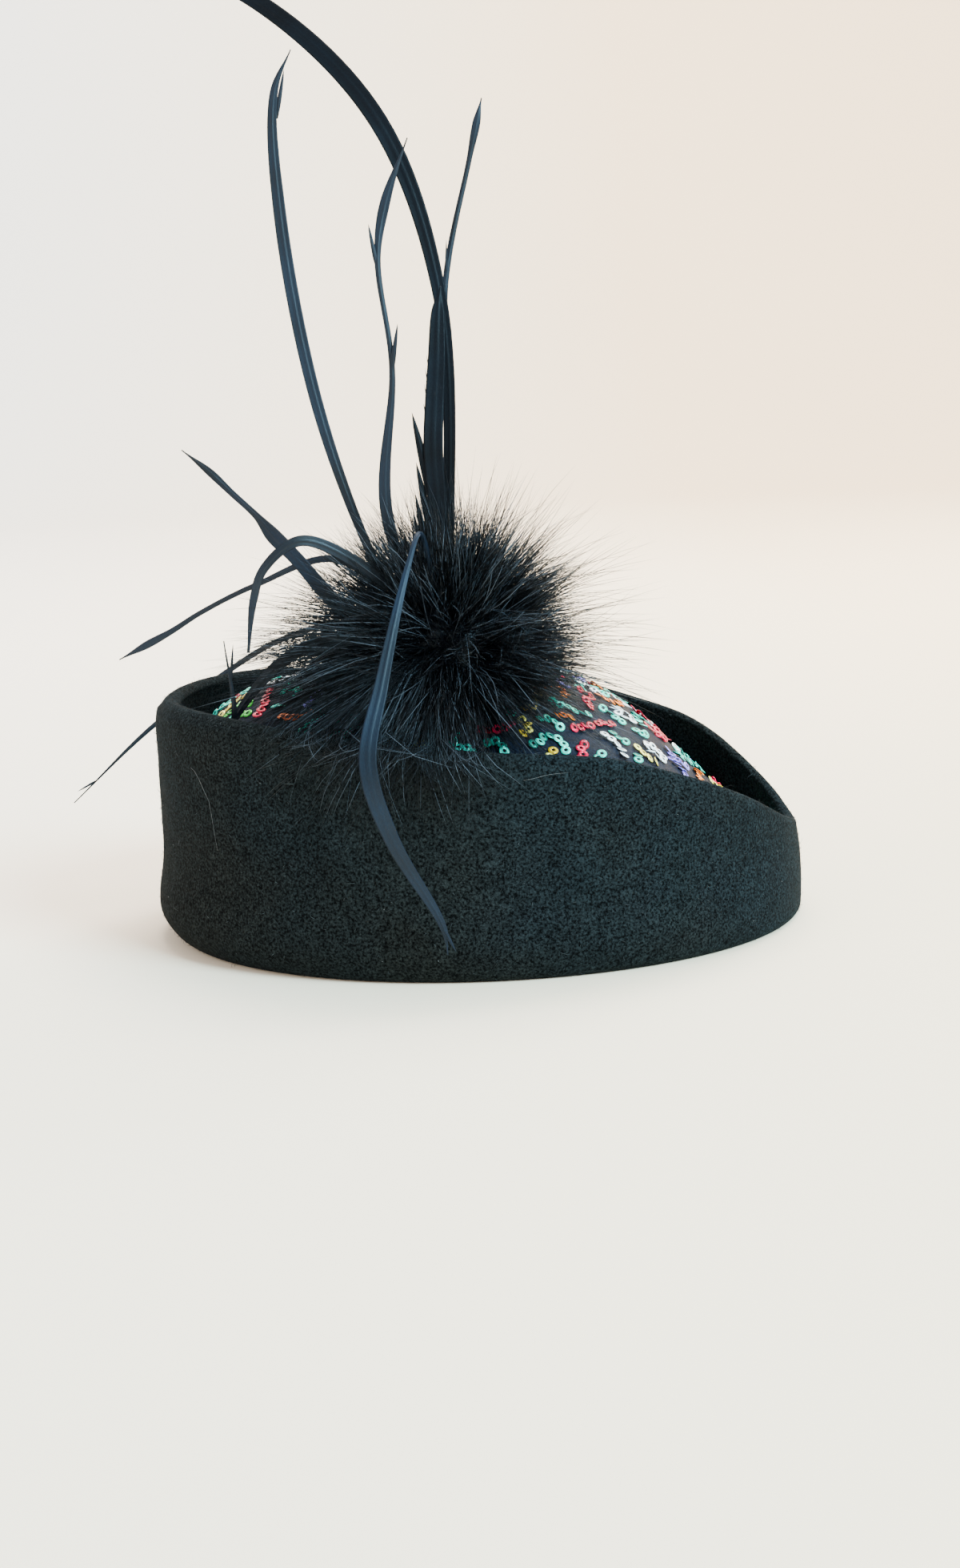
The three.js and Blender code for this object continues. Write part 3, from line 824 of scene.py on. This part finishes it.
def sequin_mesh(run):
    """Closed cupped rings along one chain, each tipped a little onto the next."""
    parts = []
    turn = np.linspace(0, TAU, SEQUIN_SIDES, endpoint=False)
    for (x, y), heading in run:
        normal = crown_normal(x, y)
        along = np.array([math.cos(heading), math.sin(heading), 0.0])
        along = unit(along - normal * (along @ normal))
        tip = math.radians(rng.normal(*SEQUIN_TIP))
        lean = math.radians(rng.normal(*SEQUIN_LEAN))
        side = np.cross(normal, along)
        up = unit(normal + along * math.tan(tip) + side * math.tan(lean))
        along = unit(along - up * (along @ up))
        side = np.cross(up, along)
        centre = np.array([x, y, crown_z(x, y)]) + normal * SEQUIN_LIFT
        section = (
            (SEQUIN_OUTER, 0.0),
            (SEQUIN_OUTER, SEQUIN_THICKNESS),
            (SEQUIN_HOLE, SEQUIN_THICKNESS + SEQUIN_CUP),
            (SEQUIN_HOLE, SEQUIN_CUP),
        )
        rings = []
        for radius, height in section:
            flat = np.cos(turn)[:, None] * along + np.sin(turn)[:, None] * side
            rings.append(centre + flat * radius + up * height)
        parts.append((np.concatenate(rings), grid_faces(4, SEQUIN_SIDES, join_rows=True)))
    return parts


def make_sequins():
    shares = np.array([row[1] for row in SEQUIN_COLOURS])
    groups = [[] for _ in SEQUIN_COLOURS]
    for run in sequin_chains():
        pick = rng.choice(len(SEQUIN_COLOURS), p=shares / shares.sum())
        groups[pick] += sequin_mesh(run)
    for (name, _, dark, light), parts in zip(SEQUIN_COLOURS, groups):
        points, faces = joined(parts)
        mesh_piece(name, points, faces, sequin_material(name, dark, light))


# Tuft

def reach_towards(directions):
    """Reach of the locks and of the wisps in each direction."""
    near = np.maximum(directions @ unit(TUFT_REACH[:, :3]).T, 0) ** REACH_FOCUS
    return (near @ TUFT_REACH[:, 3:]).T / np.maximum(near.sum(1), 1e-6)


def outside_oval(x, y):
    """How far a place in plan lies outside the head oval."""
    out = np.zeros_like(x)
    for _ in range(4):
        u, v = x / (HEAD_HALF_LENGTH + out), y / (HEAD_HALF_WIDTH + out)
        size = np.hypot(u, v)
        out = out + (1 - 1 / np.maximum(size, 1e-3)) * np.hypot(x, y)
        out = np.maximum(out, -60)
    return out


def clear_of_hat(points, gap=0.5):
    """Lifts fibre points off the crown and over the cuff's rim."""
    points = points.copy()
    x, y, z = points[..., 0], points[..., 1], points[..., 2]
    angle, share = crown_place(x, y)
    floor = np.where(share < 1, crown_z(x, y) + gap, -1e3)
    z = np.maximum(z, floor)
    out = outside_oval(x, y)
    lean = cuff_lean(angle, z)
    rim = rim_height(angle)
    in_wall = (out > FELT + FOLD_GAP + lean - gap) & (out < 2 * FELT + FOLD_GAP + lean + gap)
    points[..., 2] = np.where(in_wall, np.maximum(z, rim + gap), z)
    return points


def spread_directions(count):
    """Evenly spread directions on a sphere."""
    index = np.arange(count)
    z = 1 - (2 * index + 1) / count
    turn = index * math.pi * (3 - math.sqrt(5))
    flat = np.sqrt(1 - z * z)
    return np.stack([flat * np.cos(turn), flat * np.sin(turn), z], -1)


def tuft_paths():
    """Paths of the radiating fibres, gathered in clumps that taper to their tips."""
    ways = spread_directions(CLUMPS)
    ways = unit(ways + rng.normal(0, 0.06, ways.shape))
    ways = ways[(ways[:, 2] > -0.55) | (ways[:, 1] < -0.45)]
    count = FIBRES_PER_CLUMP
    s = np.linspace(0, 1, FIBRE_POINTS)[None, :, None]
    paths = []
    for way in ways:
        swept = unit(way * [1, 0.6, 1])
        locks, wisps = reach_towards(swept[None])[:, 0]
        end = swept * locks * rng.uniform(0.8, 1.15)
        tips = end * rng.uniform(0.72, 1.05, (count, 1)) + rng.normal(0, rng.uniform(0.6, 3.6), (count, 3))
        stray = rng.random((count, 1)) < WISP_SHARE
        wander = unit(swept + rng.normal(0, 0.16, (count, 3)))
        tips = np.where(stray, wander * rng.uniform(locks, wisps, (count, 1)), tips)
        spread = unit(way + rng.normal(0, 0.3, (count, 3)))
        roots = spread * rng.uniform(*FIBRE_ROOTS, (count, 1))
        bow = np.cross(way, unit(rng.normal(size=3))) * rng.normal(0, 3.5)
        curl = rng.normal(0, 1.3, (count, 1, 3))
        lines = roots[:, None] + (tips - roots)[:, None] * s
        lines = lines + (bow + curl) * np.sin(s * math.pi) + curl * s ** 2
        lines[..., 2] -= FIBRE_DROOP * (lines[..., 0] ** 2 + lines[..., 1] ** 2)
        paths.append(TUFT_CENTRE + lines)
    return clear_of_hat(np.concatenate(paths))


def fall_paths():
    """Paths of the fibres that fall over the near rim and hang down the cuff."""
    paths = []
    for _ in range(FALL_LOCKS):
        angle = math.radians(rng.normal(FALL_ANGLE, 7))
        depth = rng.uniform(6, 46) * math.exp(-((math.degrees(angle) - FALL_ANGLE) / 14) ** 2)
        sideways = rng.normal(math.radians(-2), math.radians(7))
        for _ in range(FALL_STRANDS):
            turn = angle + rng.normal(0, math.radians(1.2))
            rim = rim_height(turn)
            way = unit(np.array([rng.normal(-0.2, 0.5), -1, rng.normal(-0.1, 0.3)]))
            root = TUFT_CENTRE + way * rng.uniform(8, 16)
            over = oval_point(turn, FELT * 1.5 + FOLD_GAP + cuff_lean(turn, rim), rim + rng.uniform(0.6, 4))
            line = [root, (root + over) / 2 + [0, 0, rng.uniform(2, 7)], over]
            end = depth * rng.uniform(0.3, 1.1)
            drift = sideways + rng.normal(0, math.radians(1.6))
            for share in (0.35, 0.7, 1.0):
                z = rim - end * share ** 1.2
                wall = 2 * FELT + FOLD_GAP + cuff_lean(turn, z)
                out = wall + rng.uniform(0.7, 1.8) + FALL_BULGE * math.sin(share * math.pi)
                line.append(oval_point(turn + drift * share, out, z))
            paths.append(np.array(line))
    return np.array(paths)


def make_tuft():
    material = fluff_material("fluff_black", FIBRE_HIGHLIGHT_SHARE)
    strands = fluff_material("fluff_strands", STRAND_HIGHLIGHT_SHARE)
    make_tuft_core(material)
    paths = tuft_paths()
    thickness = np.linspace(1, 0, paths.shape[1]) ** 0.42
    guard_hair = rng.random((len(paths), 1)) < GUARD_HAIR_SHARE
    radii = rng.uniform(*FIBRE_RADII, (len(paths), 1)) * np.where(guard_hair, GUARD_HAIR, 1.0) * thickness
    for number, start in enumerate(range(0, len(paths), FIBRES_PER_PIECE)):
        part = slice(start, start + FIBRES_PER_PIECE)
        points, faces = fibre_mesh(paths[part], radii[part])
        piece = mesh_piece(f"tuft_fibres_{number + 1}", points, faces, material)
        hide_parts("tuft")
    paths = fall_paths()
    radii = np.tile(FALL_RADIUS * np.linspace(1, 0, paths.shape[1]) ** 0.5, (len(paths), 1))
    points, faces = fibre_mesh(paths, radii)
    mesh_piece("tuft_falling_fibres", points, faces, strands)


def make_tuft_core(material):
    """The dense dark middle of the tuft."""
    rows, columns = 28, 48
    polar = np.linspace(0, math.pi, rows + 2)[1:-1, None]
    turn = np.linspace(0, TAU, columns, endpoint=False)[None]
    flat = np.sin(polar)
    ways = np.stack([flat * np.cos(turn), flat * np.sin(turn), np.cos(polar) + 0 * turn], -1)
    grid = np.zeros_like(ways)
    for index in np.ndindex(rows, columns):
        lump = 2.5 * noise.noise(Vector(ways[index]) * 4.0)
        grid[index] = TUFT_CENTRE + ways[index] * (TUFT_CORE + lump)
    ends = np.array([TUFT_CENTRE + [0, 0, TUFT_CORE], TUFT_CENTRE - [0, 0, TUFT_CORE]])
    points = clear_of_hat(np.concatenate([grid.reshape(-1, 3), ends]), 0.3)
    faces = grid_faces(rows, columns)[:, ::-1].tolist()
    last = (rows - 1) * columns
    for j in range(columns):
        k = (j + 1) % columns
        faces.append([j, k, rows * columns])
        faces.append([last + k, last + j, rows * columns + 1])
    core = mesh_piece("tuft_core", points, faces, material)
    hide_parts("tuft")


# Feathers

def blade(path, widths, cup=0.2, ridge=0.3):
    """A thin cupped blade with a raised middle rib: points, faces and texture places."""
    along = unit(np.gradient(path, axis=0))
    across = unit(np.cross(along, FACING))
    flat = np.cross(across, along)
    thick = np.minimum(FEATHER_THICKNESS, widths * 0.5)
    front = np.linspace(-1, 1, 11)
    back = np.linspace(1, -1, 9)[1:-1]
    sides, lifts, heights = [], [], []
    for u in front:
        sides.append(u)
        lifts.append(cup * u * u)
        heights.append(0.5 * (1 - EDGE_THINNING * u * u) + ridge * math.exp(-(u / RIB_WIDTH) ** 2))
    for u in back:
        sides.append(u)
        lifts.append(cup * u * u)
        heights.append(-0.5 * (1 - EDGE_THINNING * u * u))
    half = widths[:, None, None] / 2
    offsets = np.array(sides)[None, :, None] * half * across[:, None]
    offsets = offsets + np.array(lifts)[None, :, None] * half * flat[:, None]
    offsets = offsets + np.array(heights)[None, :, None] * thick[:, None, None] * flat[:, None]
    grid = path[:, None] + offsets
    rows, columns = grid.shape[:2]
    run = np.concatenate([[0], np.cumsum(np.linalg.norm(np.diff(path, axis=0), axis=1))])
    u = np.broadcast_to(np.array(sides), (rows, columns))
    v = np.broadcast_to(run[:, None] / 4, (rows, columns))
    uv = np.stack([u, v], -1).reshape(-1, 2)
    faces = grid_faces(rows, columns).tolist()
    faces.append(list(range(columns))[::-1])
    faces.append([(rows - 1) * columns + j for j in range(columns)])
    return grid.reshape(-1, 3), faces, uv


def barb(root, tip, width):
    """A short pointed side barb."""
    root, tip = np.array(root, float), np.array(tip, float)
    shares = np.linspace(0, 1, 9)
    path = root + (tip - root) * shares[:, None]
    widths = width * (0.6 + 0.4 * smoothstep(shares, 0, 0.35)) * (1 - shares ** 2.2) ** 0.8 + 0.06
    return blade(path, widths)


def make_feathers():
    satin = feather_material("feather_satin", *SATIN)
    matt = feather_material("feather_dark", *DARK)
    pale = feather_material("feather_pale", *PALE)
    materials = {"feather_arch": matt, "feather_vane": matt, "feather_front_fall": pale}
    for name, rows in FEATHERS.items():
        path, places = curve_points(rows, FEATHER_STEPS)
        widths = smooth(np.arange(len(rows)), [row[3] for row in rows], places)
        parts = [blade(path, widths)]
        parts += [barb(*row) for row in BARBS.get(name, [])]
        points, faces = joined([part[:2] for part in parts])
        uv = np.concatenate([part[2] for part in parts])
        piece = mesh_piece(f"{name}_blade", points, faces, materials.get(name, satin), uv)
        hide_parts(name)


# Stage, lights and camera

def make_backdrop():
    """A pale floor that sweeps up into a wall well behind the hat."""
    near, far, bend, height, half = -4.0, 2.2, 1.2, 3.4, 5.0
    profile = [(near, 0.0), (far, 0.0)]
    for turn in np.linspace(0, math.pi / 2, 24)[1:]:
        profile.append((far + bend * math.sin(turn), bend * (1 - math.cos(turn))))
    profile.append((far + bend, height))
    points = [(x, y, z) for y, z in profile for x in (-half, half)]
    faces = [(2 * i, 2 * i + 1, 2 * i + 3, 2 * i + 2) for i in range(len(profile) - 1)]
    mesh = bpy.data.meshes.new("backdrop")
    mesh.from_pydata(points, [], faces)
    mesh.polygons.foreach_set("use_smooth", [True] * len(faces))
    mesh.materials.append(backdrop_material())
    backdrop = bpy.data.objects.new("backdrop", mesh)
    bpy.context.scene.collection.objects.link(backdrop)


def make_light(name, at, target, size, power, colour):
    data = bpy.data.lights.new(name, "AREA")
    data.shape = "DISK"
    data.size = size
    data.energy = power
    data.color = colour
    light = bpy.data.objects.new(name, data)
    light.location = at
    light.rotation_euler = (Vector(target) - Vector(at)).to_track_quat("-Z", "Y").to_euler()
    bpy.context.scene.collection.objects.link(light)


def make_lights():
    world = bpy.data.worlds.new("soft_room")
    world.use_nodes = True
    world.node_tree.nodes["Background"].inputs["Color"].default_value = ROOM_COLOUR
    world.node_tree.nodes["Background"].inputs["Strength"].default_value = ROOM_STRENGTH
    bpy.context.scene.world = world
    for row in LIGHTS:
        make_light(*row)


def make_camera():
    forward = Vector((0, math.cos(CAMERA_PITCH), -math.sin(CAMERA_PITCH)))
    level_up = Vector((0, math.sin(CAMERA_PITCH), math.cos(CAMERA_PITCH)))
    level_right = Vector((1, 0, 0))
    right = math.cos(CAMERA_ROLL) * level_right + math.sin(CAMERA_ROLL) * level_up
    up = math.cos(CAMERA_ROLL) * level_up - math.sin(CAMERA_ROLL) * level_right
    data = bpy.data.cameras.new("camera")
    data.sensor_fit = "VERTICAL"
    data.angle_y = CAMERA_FIELD
    camera = bpy.data.objects.new("camera", data)
    turn = Matrix((right, up, -forward)).transposed()
    camera.matrix_world = Matrix.Translation(CAMERA_AT) @ turn.to_4x4()
    bpy.context.scene.collection.objects.link(camera)
    bpy.context.scene.camera = camera


make_camera()
make_backdrop()
make_lights()
make_cuff()
make_lint()
make_crown()
make_sequins()
make_feathers()
make_tuft()
